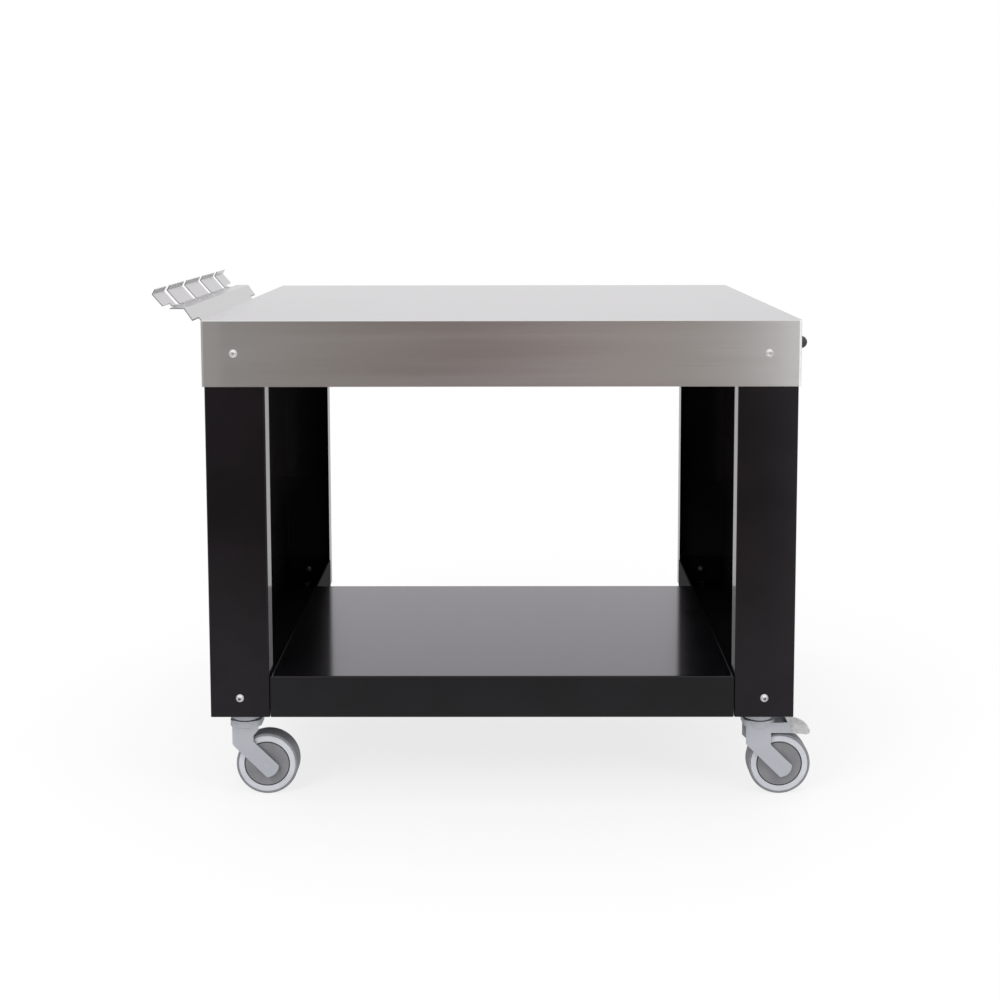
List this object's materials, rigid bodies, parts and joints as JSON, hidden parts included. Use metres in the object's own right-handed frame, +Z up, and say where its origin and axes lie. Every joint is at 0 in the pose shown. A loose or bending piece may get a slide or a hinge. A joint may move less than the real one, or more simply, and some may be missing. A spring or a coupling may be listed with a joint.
{
  "type": "outdoor pizza oven table",
  "caption": "Rolling outdoor table with a stainless tray top, side tool rack, black folded legs, low shelf and swivel casters.",
  "frame": {"origin": "on the floor, under the middle of the whole object's bounding box", "axes": "+Z up, front face towards -Y, tool rack at -X, braked casters and knob at +X"},
  "size_m": [1.113, 0.8088, 0.8827],
  "materials": {
    "stainless_top": "brushed stainless sheet",
    "stainless_rack": "satin stainless sheet",
    "galvanised": "plain zinc-coated sheet",
    "black_leg": "satin black powder coat",
    "black_inner": "satin black powder coat",
    "black_shelf": "semi-gloss black powder coat",
    "bolt_steel": "bright stainless",
    "zinc": "bright zinc plate",
    "caster_grey": "silver-grey coat",
    "rim_grey": "light grey plastic",
    "guard_grey": "mid grey plastic",
    "tread_grey": "grey non-marking rubber",
    "bearing_black": "black plastic",
    "seal_black": "dark rubber",
    "pedal_grey": "light grey plastic",
    "shoe_grey": "mid grey rubber",
    "knob": "dark grey, half gloss"
  },
  "bodies": {
    "table": {"worktop": "stainless_top", "stiffener_front": "galvanised", "stiffener_back": "galvanised", "side_panel_left": "black_leg", "side_panel_right": "black_leg", "base_rail_left": "black_inner", "base_rail_right": "black_inner", "shelf": "black_shelf", "shelf_brace": "black_inner", "apron_bolts": "bolt_steel", "apron_rivet_nuts": "zinc", "leg_bolts": "bolt_steel", "leg_nuts": "zinc", "shelf_bolts": "bolt_steel", "shelf_nuts": "zinc", "rack_bolts": "bolt_steel", "side_rivet_nuts": "zinc", "tool_rack": "stainless_rack", "side_knob": "knob", "knob_stud": "zinc", "caster_king_pins": "zinc", "caster_nuts": "zinc", "caster_cups": "caster_grey", "caster_seals": "seal_black"},
    "swivel_front_left": {"fork_front_left": "caster_grey", "axle_front_left": "zinc", "axle_sleeve_front_left": "zinc", "disc_guards_front_left": "guard_grey"},
    "wheel_front_left": {"rim_front_left": "rim_grey", "tyre_front_left": "tread_grey", "bearing_front_left": "bearing_black"},
    "swivel_front_right": {"fork_front_right": "caster_grey", "axle_front_right": "zinc", "axle_sleeve_front_right": "zinc", "disc_guards_front_right": "guard_grey", "brake_pin_front_right": "zinc"},
    "wheel_front_right": {"rim_front_right": "rim_grey", "tyre_front_right": "tread_grey", "bearing_front_right": "bearing_black"},
    "brake_front_right": {"brake_pedal_front_right": "pedal_grey", "brake_shoe_front_right": "shoe_grey"},
    "swivel_back_left": {"fork_back_left": "caster_grey", "axle_back_left": "zinc", "axle_sleeve_back_left": "zinc", "disc_guards_back_left": "guard_grey"},
    "wheel_back_left": {"rim_back_left": "rim_grey", "tyre_back_left": "tread_grey", "bearing_back_left": "bearing_black"},
    "swivel_back_right": {"fork_back_right": "caster_grey", "axle_back_right": "zinc", "axle_sleeve_back_right": "zinc", "disc_guards_back_right": "guard_grey", "brake_pin_back_right": "zinc"},
    "wheel_back_right": {"rim_back_right": "rim_grey", "tyre_back_right": "tread_grey", "bearing_back_right": "bearing_black"},
    "brake_back_right": {"brake_pedal_back_right": "pedal_grey", "brake_shoe_back_right": "shoe_grey"}
  },
  "joints": [
    {"name": "swivel_front_left", "type": "hinge", "parent": "table", "child": "swivel_front_left", "pos_m": [-0.4215, -0.346, 0.1325], "axis": [0, 0, 1], "continuous": true},
    {"name": "wheel_front_left", "type": "hinge", "parent": "swivel_front_left", "child": "wheel_front_left", "pos_m": [-0.3855, -0.346, 0.0535], "axis": [0, 1, 0], "continuous": true},
    {"name": "swivel_front_right", "type": "hinge", "parent": "table", "child": "swivel_front_right", "pos_m": [0.4665, -0.346, 0.1325], "axis": [0, 0, 1], "continuous": true},
    {"name": "wheel_front_right", "type": "hinge", "parent": "swivel_front_right", "child": "wheel_front_right", "pos_m": [0.5025, -0.346, 0.0535], "axis": [0, 1, 0], "continuous": true},
    {"name": "brake_front_right", "type": "hinge", "parent": "swivel_front_right", "child": "brake_front_right", "pos_m": [0.5025, -0.346, 0.116], "axis": [0, 1, 0], "range_deg": [0, 10]},
    {"name": "swivel_back_left", "type": "hinge", "parent": "table", "child": "swivel_back_left", "pos_m": [-0.4215, 0.346, 0.1325], "axis": [0, 0, 1], "continuous": true},
    {"name": "wheel_back_left", "type": "hinge", "parent": "swivel_back_left", "child": "wheel_back_left", "pos_m": [-0.3855, 0.346, 0.0535], "axis": [0, 1, 0], "continuous": true},
    {"name": "swivel_back_right", "type": "hinge", "parent": "table", "child": "swivel_back_right", "pos_m": [0.4665, 0.346, 0.1325], "axis": [0, 0, 1], "continuous": true},
    {"name": "wheel_back_right", "type": "hinge", "parent": "swivel_back_right", "child": "wheel_back_right", "pos_m": [0.5025, 0.346, 0.0535], "axis": [0, 1, 0], "continuous": true},
    {"name": "brake_back_right", "type": "hinge", "parent": "swivel_back_right", "child": "brake_back_right", "pos_m": [0.5025, 0.346, 0.116], "axis": [0, 1, 0], "range_deg": [0, 10]}
  ]
}
